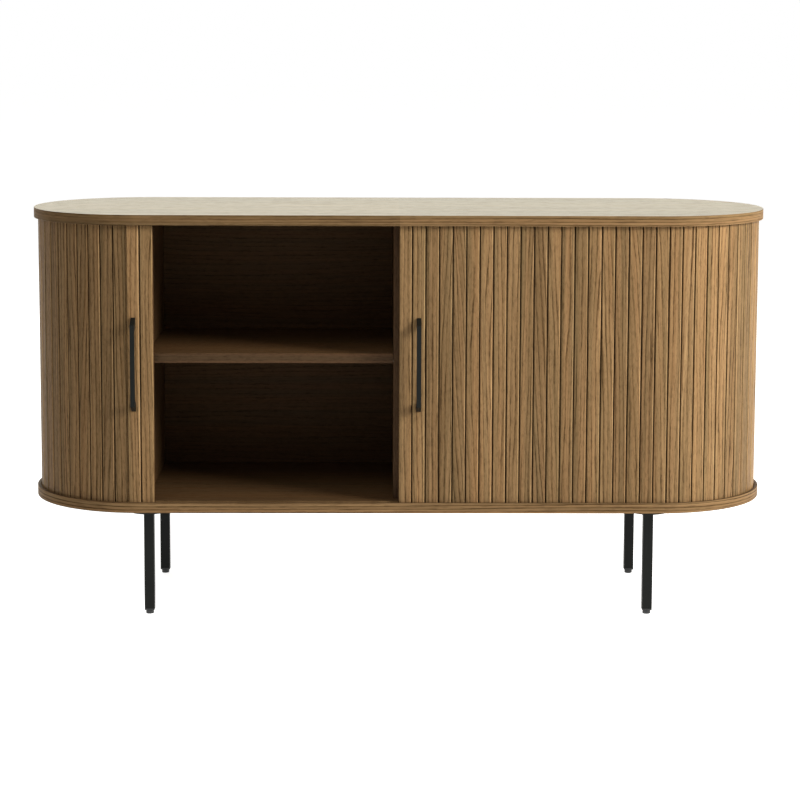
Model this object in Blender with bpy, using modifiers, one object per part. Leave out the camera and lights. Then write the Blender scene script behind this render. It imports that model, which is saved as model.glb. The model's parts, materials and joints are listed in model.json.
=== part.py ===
# Sideboard with two tambour doors: two long boards with rounded ends, a slatted curtain that
# runs in grooves between them, a divided carcass inside and four square metal legs.
# Metres, +Z up, +X to the right, the front faces -Y. The origin is under the middle of the
# whole piece, handles included, at floor level.
import math

import bmesh
import bpy
from mathutils import Matrix

# Overall sizes
overall_length = 1.400
board_depth = 0.400
overall_height = 0.760
underside_height = 0.203
board_thickness = 0.0195
end_reach = 0.216
board_edge_rounding = 0.0008

# Tambour: vertical slats on a canvas, running in a groove in both boards
tambour_inset = 0.0075
slat_pitch = 0.025
slat_thickness = 0.008
slat_gap = 0.002
slat_edge_chamfer = 0.001
canvas_thickness = 0.001
groove_clearance = 0.0012
bottom_groove_depth = 0.006
top_groove_depth = 0.008
slat_top_clearance = 0.0015
seat_gap = 0.0003
right_lead_x = -0.0019
door_gap = 0.003

# Carcass inside the tambour
panel_thickness = 0.018
divider_thickness = 0.022
wall_from_straight_end = 0.013
panel_front_setback = 0.008
inner_back_thickness = 0.006
inner_back_setback = 0.030
outer_back_thickness = 0.0045
outer_back_reach = 0.016
shelf_thickness = 0.0185
shelf_above_floor = 0.2755
shelf_front_setback = 0.040
shelf_side_clearance = 0.0006
panel_edge_rounding = 0.0005

# Shelf pins
pin_radius = 0.0025
pin_hole_clearance = 0.0003
pin_hole_depth = 0.010
pin_reach = 0.009
pin_from_shelf_edge = 0.045

# Handles: a flat bar with sloping ends, on the second slat of each door
handle_height = 0.176
handle_hole_spacing = 0.160
handle_reach = 0.022
handle_bar_thickness = 0.006
handle_width = 0.0085
handle_end_slope = 0.012
handle_inner_slope = 0.008
handle_edge_rounding = 0.0008
handle_screw_radius = 0.002
handle_screw_clearance = 0.0003
handle_screw_bite = 0.010
handle_screw_head_radius = 0.004
handle_screw_head_height = 0.0022

# Legs, their plates, plugs and levelling feet
leg_from_end = 0.230
leg_from_front = 0.0475
leg_width = 0.019
leg_corner_radius = 0.0025
leg_wall = 0.0015
leg_plate_radius = 0.040
leg_plate_thickness = 0.004
leg_plate_edge_rounding = 0.0006
leg_plate_hole_radius = 0.0025
leg_plate_hole_circle = 0.028
leg_plug_flange = 0.003
leg_plug_depth = 0.014
leg_plug_edge_rounding = 0.001
leg_plug_clearance = 0.0003
foot_radius = 0.0075
foot_height = 0.0075
foot_edge_rounding = 0.001
foot_stud_radius = 0.003
foot_stud_clearance = 0.0003
foot_stud_length = 0.014

# Cutters run this far past what they cut
overrun = 0.002

# Counts
track_steps = 360
board_end_steps = 40
corner_steps = 3
round_sides = 32
small_round_sides = 16
leg_plate_holes = 4

# Sizes worked out from the ones above
half_length = overall_length / 2
half_depth = board_depth / 2
straight_half = half_length - end_reach
board_gap_low = underside_height + board_thickness
board_gap_high = overall_height - board_thickness
face_reach = end_reach - tambour_inset
face_half_depth = half_depth - tambour_inset
curtain_thickness = slat_thickness + canvas_thickness
slat_low = board_gap_low - bottom_groove_depth + seat_gap
slat_high = board_gap_high + top_groove_depth - slat_top_clearance
slat_height = slat_high - slat_low
left_lead_x = right_lead_x - door_gap
centre_y = (handle_reach + seat_gap - tambour_inset) / 2
wall_inner_x = straight_half - wall_from_straight_end
inner_back_y = half_depth - inner_back_setback
shelf_top_height = board_gap_low + shelf_above_floor
handle_centre_height = (board_gap_low + board_gap_high) / 2
panel_front_y = -face_half_depth + curtain_thickness + panel_front_setback
panel_back_y = inner_back_y + inner_back_thickness
panel_low = board_gap_low + seat_gap
panel_high = board_gap_high - seat_gap
leg_x = half_length - leg_from_end
leg_y = half_depth - leg_from_front
leg_top = underside_height - leg_plate_thickness - 2 * seat_gap
leg_bottom = foot_height + leg_plug_flange + 2 * seat_gap


def clear_scene():
    for scene_object in list(bpy.data.objects):
        bpy.data.objects.remove(scene_object, do_unlink=True)


def new_collection(name):
    collection = bpy.data.collections.new(name)
    bpy.context.scene.collection.children.link(collection)
    return collection


def new_material(name, colour, roughness, metallic):
    material = bpy.data.materials.new(name)
    material.use_nodes = True
    shader = material.node_tree.nodes["Principled BSDF"]
    shader.inputs["Base Color"].default_value = (*colour, 1)
    shader.inputs["Roughness"].default_value = roughness
    shader.inputs["Metallic"].default_value = metallic
    return material


def new_empty(name, location, parent=None):
    empty = bpy.data.objects.new(name, None)
    parts.objects.link(empty)
    empty.location = location
    empty.parent = parent
    return empty


def add_mesh(name, mesh, location, material=None, parent=None):
    """Link a mesh as a part, or as a cutter when it has no material."""
    piece = bpy.data.objects.new(name, mesh)
    piece.location = location
    if material is None:
        cutters.objects.link(piece)
        piece.hide_render = True
        piece.display_type = "WIRE"
        piece.parent = sideboard
        return piece
    parts.objects.link(piece)
    mesh.materials.append(material)
    piece.parent = parent or sideboard
    return piece


def flat_shape(name, outlines, height):
    """Mesh of a flat outline, with any inner outlines as holes, from z = 0 up to the height."""
    curve = bpy.data.curves.new(name, "CURVE")
    curve.dimensions = "2D"
    curve.fill_mode = "BOTH"
    curve.extrude = height / 2
    for outline in outlines:
        spline = curve.splines.new("POLY")
        spline.points.add(len(outline) - 1)
        for point, (x, y) in zip(spline.points, outline):
            point.co = (x, y, 0, 1)
        spline.use_cyclic_u = True
    holder = bpy.data.objects.new(name, curve)
    bpy.context.scene.collection.objects.link(holder)
    evaluated = holder.evaluated_get(bpy.context.evaluated_depsgraph_get())
    mesh = bpy.data.meshes.new_from_object(evaluated)
    bpy.data.objects.remove(holder, do_unlink=True)
    mesh.name = name
    shape = bmesh.new()
    shape.from_mesh(mesh)
    bmesh.ops.remove_doubles(shape, verts=shape.verts, dist=1e-6)
    bmesh.ops.translate(shape, verts=shape.verts, vec=(0, 0, height / 2))
    bmesh.ops.recalc_face_normals(shape, faces=shape.faces)
    shape.to_mesh(mesh)
    shape.free()
    return mesh


def box_mesh(name, size):
    shape = bmesh.new()
    bmesh.ops.create_cube(shape, size=1)
    bmesh.ops.scale(shape, verts=shape.verts, vec=size)
    mesh = bpy.data.meshes.new(name)
    shape.to_mesh(mesh)
    shape.free()
    return mesh


def add_box(name, low, high, material=None):
    size = [b - a for a, b in zip(low, high)]
    middle = [(a + b) / 2 for a, b in zip(low, high)]
    return add_mesh(name, box_mesh(name, size), middle, material)


def rod_mesh(name, radius, length, sides, axis="Z"):
    """Cylinder about its own middle, along the named axis."""
    shape = bmesh.new()
    bmesh.ops.create_cone(
        shape, cap_ends=True, segments=sides, radius1=radius, radius2=radius, depth=length
    )
    if axis != "Z":
        other_axis = "Y" if axis == "X" else "X"
        turn = Matrix.Rotation(math.pi / 2, 3, other_axis)
        bmesh.ops.rotate(shape, verts=shape.verts, matrix=turn)
    mesh = bpy.data.meshes.new(name)
    shape.to_mesh(mesh)
    shape.free()
    return mesh


def turned_mesh(name, profile, sides):
    """Solid of revolution about Z from (radius, height) points that run top to bottom."""
    mesh = bpy.data.meshes.new(name)
    points = [(radius, 0, height) for radius, height in profile]
    mesh.from_pydata(points, [(i, i + 1) for i in range(len(points) - 1)], [])
    holder = bpy.data.objects.new(name, mesh)
    bpy.context.scene.collection.objects.link(holder)
    screw = holder.modifiers.new("Turn", "SCREW")
    screw.steps = sides
    screw.render_steps = sides
    screw.use_merge_vertices = True
    screw.merge_threshold = 1e-6
    evaluated = holder.evaluated_get(bpy.context.evaluated_depsgraph_get())
    turned = bpy.data.meshes.new_from_object(evaluated)
    bpy.data.objects.remove(holder, do_unlink=True)
    turned.name = name
    return turned


def round_edges(piece, width):
    bevel = piece.modifiers.new("Rounded edges", "BEVEL")
    bevel.width = width
    bevel.segments = 1
    bevel.limit_method = "ANGLE"
    bevel.angle_limit = math.radians(40)
    return bevel


def cut(piece, cutter):
    boolean = piece.modifiers.new("Cut", "BOOLEAN")
    boolean.operation = "DIFFERENCE"
    boolean.solver = "EXACT"
    boolean.object = cutter


def shade_round(mesh):
    mesh.shade_smooth()
    mesh.set_sharp_from_angle(angle=math.radians(35))


def rounded_end_outline(reach, depth, steps):
    """Plan outline of a board: straight sides with a half ellipse at each end."""
    angles = [math.pi * i / steps for i in range(steps + 1)]
    right = [(straight_half + reach * math.sin(a), -depth * math.cos(a)) for a in angles]
    left = [(-x, -y) for x, y in right]
    return right + left


def square_outline(width, radius):
    """Square outline with rounded corners, about its own middle."""
    flat = width / 2 - radius
    corners = [(flat, flat), (-flat, flat), (-flat, -flat), (flat, -flat)]
    points = []
    for quarter, (x, y) in enumerate(corners):
        for step in range(corner_steps + 1):
            angle = math.pi / 2 * (quarter + step / corner_steps)
            points.append((x + radius * math.cos(angle), y + radius * math.sin(angle)))
    return points


def track_table():
    """Points of the slats' face line round one end, with the distance run to each."""
    angles = [math.pi * i / track_steps for i in range(track_steps + 1)]
    points = [
        (straight_half + face_reach * math.sin(a), -face_half_depth * math.cos(a))
        for a in angles
    ]
    distances = [0]
    for first, second in zip(points, points[1:]):
        distances.append(distances[-1] + math.dist(first, second))
    return points, distances


def track_point(distance):
    """Point of the face line at a distance from the middle of the front, towards +X."""
    run = distance - straight_half
    if run <= 0:
        return (distance, -face_half_depth)
    if run >= end_distances[-1]:
        return (straight_half - (run - end_distances[-1]), face_half_depth)
    index = next(i for i, reached in enumerate(end_distances) if reached > run)
    share = (run - end_distances[index - 1]) / (end_distances[index] - end_distances[index - 1])
    (x0, y0), (x1, y1) = end_points[index - 1], end_points[index]
    return (x0 + (x1 - x0) * share, y0 + (y1 - y0) * share)


def front_point(distance):
    """The same along the front only, carried on straight."""
    return (distance, -face_half_depth)


def curtain_outline(start, count, line):
    """Plan outline of a run of slats on their canvas, the face side first."""
    face, back = [], []
    for number in range(count):
        x0, y0 = line(start + number * slat_pitch)
        x1, y1 = line(start + (number + 1) * slat_pitch)
        chord = math.dist((x0, y0), (x1, y1))
        along = ((x1 - x0) / chord, (y1 - y0) / chord)
        inward = (-along[1], along[0])

        def corner(run, depth):
            x = x0 + along[0] * run + inward[0] * depth
            y = y0 + along[1] * run + inward[1] * depth
            return (x, y)

        low, high = slat_gap / 2, chord - slat_gap / 2
        face += [
            corner(low, slat_thickness),
            corner(low, slat_edge_chamfer),
            corner(low + slat_edge_chamfer, 0),
            corner(high - slat_edge_chamfer, 0),
            corner(high, slat_edge_chamfer),
            corner(high, slat_thickness),
        ]
        back += [corner(low, curtain_thickness), corner(high, curtain_thickness)]
    return face + back[::-1]


def add_curtain(name, start, count, line, side, door=None):
    """A run of slats in the grooves, mirrored for the left side, carried by its door if it has one."""
    door_x = door.location.x if door else 0
    outline = [(side * x - door_x, y) for x, y in curtain_outline(start, count, line)]
    mesh = flat_shape(name, [outline], slat_height)
    return add_mesh(name, mesh, (0, 0, slat_low), outer_wood, door)


def add_board(name, low, groove_low, groove_high):
    outline = rounded_end_outline(end_reach, half_depth, board_end_steps)
    mesh = flat_shape(name, [outline], board_thickness)
    board = add_mesh(name, mesh, (0, 0, low), outer_wood)
    round_edges(board, board_edge_rounding)
    outer_offset = tambour_inset - groove_clearance
    inner_offset = tambour_inset + curtain_thickness + groove_clearance
    rings = [
        rounded_end_outline(end_reach - offset, half_depth - offset, board_end_steps)
        for offset in (outer_offset, inner_offset)
    ]
    groove = flat_shape(name + "_groove", rings, groove_high - groove_low)
    cut(board, add_mesh(name + "_groove", groove, (0, 0, groove_low)))
    return board


def add_boards():
    add_board(
        "top_board", board_gap_high, board_gap_high - overrun, board_gap_high + top_groove_depth
    )
    add_board(
        "bottom_board",
        underside_height,
        board_gap_low - bottom_groove_depth,
        board_gap_low + overrun,
    )


def shelf_pin_places():
    """Name, x of the panel face, direction into the panel and y of every shelf pin."""
    front = -half_depth + shelf_front_setback + pin_from_shelf_edge
    rear = inner_back_y - pin_from_shelf_edge
    for side, side_name in ((-1, "left"), (1, "right")):
        faces = (("outer", side * wall_inner_x, side), ("inner", side * divider_thickness / 2, -side))
        for face_name, x, into in faces:
            for y, depth_name in ((front, "front"), (rear, "rear")):
                yield f"{side_name}_shelf_{face_name}_{depth_name}_pin", x, into, y


def add_carcass():
    walls = {}
    for side, name in ((-1, "left"), (1, "right")):
        inner, outer = side * wall_inner_x, side * (wall_inner_x + panel_thickness)
        walls[name] = add_box(
            f"{name}_side_wall",
            (min(inner, outer), panel_front_y, panel_low),
            (max(inner, outer), panel_back_y, panel_high),
            inner_wood,
        )
        near, far = divider_thickness / 2 + seat_gap, wall_inner_x - seat_gap
        low_x, high_x = (near, far) if side > 0 else (-far, -near)
        add_box(
            f"{name}_inner_back",
            (low_x, inner_back_y, panel_low),
            (high_x, panel_back_y, panel_high),
            back_board,
        )
        shelf_near = divider_thickness / 2 + shelf_side_clearance
        shelf_far = wall_inner_x - shelf_side_clearance
        low_x, high_x = (shelf_near, shelf_far) if side > 0 else (-shelf_far, -shelf_near)
        shelf = add_box(
            f"{name}_shelf",
            (low_x, -half_depth + shelf_front_setback, shelf_top_height - shelf_thickness),
            (high_x, inner_back_y - seat_gap, shelf_top_height),
            inner_wood,
        )
        round_edges(shelf, panel_edge_rounding)
    divider = add_box(
        "centre_divider",
        (-divider_thickness / 2, -half_depth + shelf_front_setback, panel_low),
        (divider_thickness / 2, panel_back_y, panel_high),
        inner_wood,
    )
    for panel in (*walls.values(), divider):
        round_edges(panel, panel_edge_rounding)
    back_low_y = half_depth - tambour_inset + groove_clearance + seat_gap
    add_box(
        "outer_back",
        (-straight_half - outer_back_reach, back_low_y, panel_low),
        (straight_half + outer_back_reach, back_low_y + outer_back_thickness, panel_high),
        back_board,
    )
    add_shelf_pins(walls, divider)


def add_shelf_pins(walls, divider):
    """Turned pins, each in a blind hole of the panel beside its shelf."""
    pin_z = shelf_top_height - shelf_thickness - seat_gap - pin_radius
    for name, face_x, into, y in shelf_pin_places():
        hole_radius = pin_radius + pin_hole_clearance
        hole_length = pin_hole_depth + overrun
        hole_x = face_x + into * (pin_hole_depth - hole_length / 2)
        hole = rod_mesh(name + "_hole", hole_radius, hole_length, small_round_sides, "X")
        panel = divider
        if "outer" in name:
            panel = walls[name.split("_")[0]]
        cut(panel, add_mesh(name + "_hole", hole, (hole_x, y, pin_z)))
        buried = pin_hole_depth - seat_gap
        profile = [(0, pin_reach), (pin_radius, pin_reach), (pin_radius, -buried), (0, -buried)]
        mesh = turned_mesh(name, profile, small_round_sides)
        shade_round(mesh)
        pin = add_mesh(name, mesh, (face_x, y, pin_z), bright_metal)
        pin.rotation_euler = (0, -into * math.pi / 2, 0)


def add_leg(name, x, y):
    """One leg: round plate under the board, square tube, plastic plug and levelling foot."""
    plate_low = underside_height - seat_gap - leg_plate_thickness
    plate_mesh = rod_mesh(name + "_leg_plate", leg_plate_radius, leg_plate_thickness, round_sides)
    plate_middle = plate_low + leg_plate_thickness / 2
    plate = add_mesh(name + "_leg_plate", plate_mesh, (x, y, plate_middle), black_metal)
    round_edges(plate, leg_plate_edge_rounding)
    for number in range(leg_plate_holes):
        angle = math.tau * (number + 1 / 2) / leg_plate_holes
        hole_name = f"{name}_leg_plate_hole_{number + 1}"
        hole_length = leg_plate_thickness + 2 * overrun
        hole = rod_mesh(hole_name, leg_plate_hole_radius, hole_length, small_round_sides)
        hole_x = x + leg_plate_hole_circle * math.cos(angle)
        hole_y = y + leg_plate_hole_circle * math.sin(angle)
        cut(plate, add_mesh(hole_name, hole, (hole_x, hole_y, plate_middle)))

    tube_inner = leg_width - 2 * leg_wall
    tube_outlines = [
        square_outline(leg_width, leg_corner_radius),
        square_outline(tube_inner, leg_corner_radius - leg_wall),
    ]
    tube_mesh = flat_shape(name + "_leg", tube_outlines, leg_top - leg_bottom)
    shade_round(tube_mesh)
    add_mesh(name + "_leg", tube_mesh, (x, y, leg_bottom), black_metal)

    add_leg_plug(name, x, y, tube_inner)
    foot_profile = [
        (0, foot_height + foot_stud_length),
        (foot_stud_radius, foot_height + foot_stud_length),
        (foot_stud_radius, foot_height),
        (foot_radius, foot_height),
        (foot_radius, foot_edge_rounding),
        (foot_radius - foot_edge_rounding, 0),
        (0, 0),
    ]
    foot_mesh = turned_mesh(name + "_foot", foot_profile, round_sides)
    shade_round(foot_mesh)
    add_mesh(name + "_foot", foot_mesh, (x, y, 0), black_plastic)


def add_leg_plug(name, x, y, tube_inner):
    """Flange as wide as the tube under its end, spigot inside it, bore for the foot's stud."""
    plug_low = foot_height + seat_gap
    spigot_width = tube_inner - 2 * leg_plug_clearance
    spigot_radius = leg_corner_radius - leg_wall
    flange = flat_shape(
        name + "_leg_plug", [square_outline(leg_width, leg_corner_radius)], leg_plug_flange
    )
    plug = add_mesh(name + "_leg_plug", flange, (x, y, plug_low), black_plastic)
    spigot_name = name + "_leg_plug_spigot"
    spigot_height = leg_plug_depth + leg_plug_flange / 2
    spigot_mesh = flat_shape(
        spigot_name, [square_outline(spigot_width, spigot_radius)], spigot_height
    )
    spigot = add_mesh(spigot_name, spigot_mesh, (x, y, plug_low + leg_plug_flange / 2))
    join = plug.modifiers.new("Spigot", "BOOLEAN")
    join.operation = "UNION"
    join.solver = "EXACT"
    join.object = spigot
    bore_name = name + "_leg_plug_bore"
    bore_length = leg_plug_flange + leg_plug_depth + 2 * overrun
    bore = rod_mesh(
        bore_name, foot_stud_radius + foot_stud_clearance, bore_length, small_round_sides
    )
    bore_z = plug_low + (leg_plug_flange + leg_plug_depth) / 2
    cut(plug, add_mesh(bore_name, bore, (x, y, bore_z)))


def add_legs():
    for side_y, depth_name in ((-1, "front"), (1, "rear")):
        for side_x, side_name in ((-1, "left"), (1, "right")):
            add_leg(f"{depth_name}_{side_name}", side_x * leg_x, side_y * leg_y)


def handle_outline():
    """Side view of the handle: (reach from the slat, height from its middle)."""
    half = handle_height / 2
    foot_end = handle_hole_spacing - half
    upper = [
        (handle_reach, half - handle_end_slope),
        (0, half),
        (0, foot_end),
        (handle_reach - handle_bar_thickness, foot_end - handle_inner_slope),
    ]
    lower = [(reach, -z) for reach, z in reversed(upper)]
    return upper + lower


def add_handle(name, slat, middle_x, door):
    """Handle in front of its slat, held by two screws from behind."""
    door_x = door.location.x
    mesh = flat_shape(f"{name}_handle", [handle_outline()], handle_width)
    shape = bmesh.new()
    shape.from_mesh(mesh)
    bmesh.ops.translate(shape, verts=shape.verts, vec=(0, 0, -handle_width / 2))
    upright = Matrix.Rotation(-math.pi / 2, 3, "Z") @ Matrix.Rotation(math.pi / 2, 3, "X")
    bmesh.ops.rotate(shape, verts=shape.verts, matrix=upright)
    shape.to_mesh(mesh)
    shape.free()
    front_y = -face_half_depth - seat_gap
    place = (middle_x - door_x, front_y, handle_centre_height)
    handle = add_mesh(f"{name}_handle", mesh, place, black_metal, door)
    round_edges(handle, handle_edge_rounding)
    for sign, level in ((1, "upper"), (-1, "lower")):
        z = handle_centre_height + sign * handle_hole_spacing / 2
        hole_name = f"{name}_handle_{level}_screw_hole"
        hole_length = curtain_thickness + seat_gap + handle_screw_bite + overrun + seat_gap
        hole_y = front_y - handle_screw_bite - seat_gap + hole_length / 2
        radius = handle_screw_radius + handle_screw_clearance
        hole_mesh = rod_mesh(hole_name, radius, hole_length, small_round_sides, "Y")
        hole = add_mesh(hole_name, hole_mesh, (middle_x, hole_y, z))
        cut(handle, hole)
        cut(slat, hole)
        add_handle_screw(f"{name}_handle_{level}_screw", middle_x - door_x, z, front_y, door)


def add_handle_screw(name, x, z, front_y, door):
    head_y = front_y + seat_gap + curtain_thickness + seat_gap
    tip = front_y - handle_screw_bite - head_y
    profile = [
        (0, handle_screw_head_height),
        (handle_screw_head_radius, handle_screw_head_height),
        (handle_screw_head_radius, 0),
        (handle_screw_radius, 0),
        (handle_screw_radius, tip),
        (0, tip),
    ]
    mesh = turned_mesh(name, profile, small_round_sides)
    shade_round(mesh)
    screw = add_mesh(name, mesh, (x, head_y, z), bright_metal, door)
    screw.rotation_euler = (-math.pi / 2, 0, 0)


def add_doors():
    """Both curtains: the left one slid open round its end, the right one closed."""
    end_length = end_distances[-1]
    for side, name, lead in ((-1, "left", -left_lead_x), (1, "right", right_lead_x)):
        front_count = math.ceil((straight_half - lead) / slat_pitch)
        turn_start = lead + front_count * slat_pitch
        end_count = math.floor((straight_half + end_length - turn_start) / slat_pitch)
        travelling = front_count - 2
        opened = name == "left"
        start = lead + travelling * slat_pitch if opened else lead
        second = start + slat_pitch
        door = new_empty(f"{name}_door", (side * start, 0, 0), sideboard)
        add_curtain(f"{name}_lead_slat", start, 1, front_point, side, door)
        slat = add_curtain(f"{name}_handle_slat", second, 1, front_point, side, door)
        add_handle(name, slat, side * (second + slat_pitch / 2), door)
        add_curtain(f"{name}_end_run", turn_start, end_count, track_point, side)
        if opened:
            back_start = turn_start + end_count * slat_pitch
            add_curtain(f"{name}_back_run", back_start, travelling, track_point, side, door)
        else:
            front_start = second + slat_pitch
            add_curtain(f"{name}_front_run", front_start, travelling, track_point, side, door)


clear_scene()
parts = new_collection("sideboard")
cutters = new_collection("sideboard_cutters")
outer_wood = new_material("brown oak veneer", (0.33, 0.19, 0.09), 0.5, 0)
inner_wood = new_material("brown oak veneer inside", (0.28, 0.16, 0.08), 0.55, 0)
back_board = new_material("veneered back board", (0.30, 0.17, 0.085), 0.6, 0)
black_metal = new_material("black powder coated steel", (0.022, 0.023, 0.022), 0.45, 0)
black_plastic = new_material("black nylon", (0.012, 0.012, 0.012), 0.5, 0)
bright_metal = new_material("zinc plated steel", (0.55, 0.55, 0.53), 0.3, 1)
sideboard = new_empty("sideboard_centre", (0, centre_y, 0))
end_points, end_distances = track_table()
add_boards()
add_carcass()
add_legs()
add_doors()
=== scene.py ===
import json
import math
import random
from bisect import bisect_left

import bmesh
import bpy
from mathutils import Matrix, Vector

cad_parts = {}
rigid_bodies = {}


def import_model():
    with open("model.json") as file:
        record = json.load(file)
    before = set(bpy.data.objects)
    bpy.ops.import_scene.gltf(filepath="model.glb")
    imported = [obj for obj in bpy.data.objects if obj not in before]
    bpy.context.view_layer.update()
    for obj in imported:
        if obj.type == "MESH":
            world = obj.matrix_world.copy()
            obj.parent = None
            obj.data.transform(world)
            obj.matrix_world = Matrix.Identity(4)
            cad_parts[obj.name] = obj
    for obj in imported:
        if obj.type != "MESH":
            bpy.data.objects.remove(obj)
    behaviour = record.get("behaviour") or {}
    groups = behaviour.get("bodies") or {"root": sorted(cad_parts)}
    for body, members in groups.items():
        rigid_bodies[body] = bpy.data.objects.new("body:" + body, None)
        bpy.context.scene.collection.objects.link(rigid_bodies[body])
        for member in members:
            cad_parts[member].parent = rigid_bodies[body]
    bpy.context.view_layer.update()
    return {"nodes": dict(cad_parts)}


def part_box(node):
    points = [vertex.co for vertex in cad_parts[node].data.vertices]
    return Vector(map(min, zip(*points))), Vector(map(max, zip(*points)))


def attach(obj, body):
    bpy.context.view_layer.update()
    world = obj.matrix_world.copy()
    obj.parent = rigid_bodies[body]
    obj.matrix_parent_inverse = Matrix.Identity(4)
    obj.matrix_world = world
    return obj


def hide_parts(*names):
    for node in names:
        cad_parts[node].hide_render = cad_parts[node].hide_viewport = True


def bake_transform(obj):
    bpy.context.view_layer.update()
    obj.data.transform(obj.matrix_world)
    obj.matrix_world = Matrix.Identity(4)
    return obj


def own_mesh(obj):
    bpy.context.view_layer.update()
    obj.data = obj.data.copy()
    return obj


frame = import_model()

chance = random.Random(27)


# Small helpers

aligned = 0.9                  # a normal or an edge this far along an axis counts as along it
broad = 0.75                   # and a normal this far along its thickness is a board's broad face


def deselectAll():
    if bpy.context.object and bpy.context.object.mode != "OBJECT":
        bpy.ops.object.mode_set(mode="OBJECT")
    bpy.ops.object.select_all(action="DESELECT")


def pick(piece):
    deselectAll()
    piece.select_set(True)
    bpy.context.view_layer.objects.active = piece


def applyPlace(piece):
    pick(piece)
    bpy.ops.object.transform_apply(location=True, rotation=True, scale=True)


def addBox(name, low, high):
    # a cube set between two corners, the start of every square piece
    deselectAll()
    middle = [(a + b) / 2 for a, b in zip(low, high)]
    bpy.ops.mesh.primitive_cube_add(size=1, location=middle)
    piece = bpy.context.object
    piece.name = piece.data.name = name
    piece.scale = [b - a for a, b in zip(low, high)]
    applyPlace(piece)
    return piece


def addRound(name, radius, low, high, x, y, sides):
    # an upright cylinder from one height to another, the start of every round piece
    deselectAll()
    bpy.ops.mesh.primitive_cylinder_add(
        vertices=sides, radius=radius, depth=high - low, location=(x, y, (low + high) / 2)
    )
    piece = bpy.context.object
    piece.name = piece.data.name = name
    applyPlace(piece)
    return piece


def selectIn(piece, kind, test):
    # goes to edit mode with the faces, edges or vertices picked that pass the test
    pick(piece)
    bpy.ops.object.mode_set(mode="EDIT")
    bpy.ops.mesh.select_mode(type={"faces": "FACE", "edges": "EDGE", "verts": "VERT"}[kind])
    bpy.ops.mesh.select_all(action="DESELECT")
    shape = bmesh.from_edit_mesh(piece.data)
    for element in getattr(shape, kind):
        if test(element):
            element.select_set(True)
    shape.select_flush_mode()
    bmesh.update_edit_mesh(piece.data)


def middleOf(edge):
    return (edge.verts[0].co + edge.verts[1].co) / 2


def upright(edge):
    return abs((edge.verts[1].co - edge.verts[0].co).normalized().z) > aligned


def near(first, second):
    return abs(first - second) < 1e-5


def leaveEdit():
    bpy.ops.object.mode_set(mode="OBJECT")


def drop(piece):
    bpy.data.objects.remove(piece, do_unlink=True)


def roundEdges(piece, width, segments=2, degrees=35):
    modifier = piece.modifiers.new("Arris", "BEVEL")
    modifier.width = width
    modifier.segments = segments
    modifier.limit_method = "ANGLE"
    modifier.angle_limit = math.radians(degrees)
    pick(piece)
    bpy.ops.object.modifier_apply(modifier=modifier.name)


def cutWith(piece, cutter):
    modifier = piece.modifiers.new("Cut", "BOOLEAN")
    modifier.operation = "DIFFERENCE"
    modifier.solver = "EXACT"
    modifier.object = cutter
    pick(piece)
    bpy.ops.object.modifier_apply(modifier=modifier.name)
    drop(cutter)


def smooth(piece, degrees=40):
    # rounded edges shade smoothly, and the flat faces beside them stay flat
    pick(piece)
    bpy.ops.object.shade_smooth_by_angle(angle=math.radians(degrees))
    normals = piece.modifiers.new("Normals", "WEIGHTED_NORMAL")
    normals.keep_sharp = True
    bpy.ops.object.modifier_apply(modifier=normals.name)


def copyOf(piece, name, matrix):
    # a copy with its own mesh, moved into place
    copy = piece.copy()
    copy.data = piece.data.copy()
    copy.name = copy.data.name = name
    bpy.context.scene.collection.objects.link(copy)
    copy.data.transform(matrix)
    return copy


def joinAll(pieces, name):
    deselectAll()
    for piece in pieces:
        piece.select_set(True)
    bpy.context.view_layer.objects.active = pieces[0]
    if len(pieces) > 1:
        bpy.ops.object.join()
    pieces[0].name = pieces[0].data.name = name
    return pieces[0]


def layGrain(piece, rule):
    # the place of every corner in the veneer, for the materials: metres along the grain and
    # across it, and the number of its sheet
    mesh = piece.data
    grain = mesh.attributes.new("grain", "FLOAT_VECTOR", "CORNER")
    for face in mesh.polygons:
        for corner in face.loop_indices:
            point = mesh.vertices[mesh.loops[corner].vertex_index].co
            grain.data[corner].vector = rule(point, face.normal, face.center)


def finish(piece, body, slotName, materials=(), nodes=()):
    for material in materials:
        piece.data.materials.append(material)
    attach(piece, body)
    if nodes:
        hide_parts(*nodes)


# Materials

def colour(hexText):
    # sRGB hex to linear
    values = [int(hexText[i:i + 2], 16) / 255 for i in (1, 3, 5)]
    return (*(v / 12.92 if v <= 0.04045 else ((v + 0.055) / 1.055) ** 2.4 for v in values), 1)


def newMaterial(name):
    material = bpy.data.materials.new(name)
    material.use_nodes = True
    material.node_tree.nodes.clear()
    return material


def addNode(material, kind, settings=None, inputs=None):
    # adds a node with its settings; an input is a value, an output to link, or a node, which
    # is linked from its first output in use
    node = material.node_tree.nodes.new(kind)
    for key, value in (settings or {}).items():
        setattr(node, key, value)
    for key, value in (inputs or {}).items():
        if isinstance(value, bpy.types.Node):
            value = next(output for output in value.outputs if output.enabled)
        if isinstance(value, bpy.types.NodeSocket):
            material.node_tree.links.new(value, node.inputs[key])
        else:
            node.inputs[key].default_value = value
    return node


def endMaterial(m, look, tint, rough, height, sockets):
    # relief, shader and output, which every finish here ends with
    bump = addNode(m, "ShaderNodeBump", None,
                   {"Strength": look["relief"], "Distance": look["reliefDepth"], "Height": height})
    shader = addNode(m, "ShaderNodeBsdfPrincipled", None,
                     {"Base Color": tint, "Roughness": rough, "Normal": bump, **sockets})
    addNode(m, "ShaderNodeOutputMaterial", None, {"Surface": shader})
    return m


noiseRange = {"From Min": 0.25, "From Max": 0.75}      # where most of a noise's values lie

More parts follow.
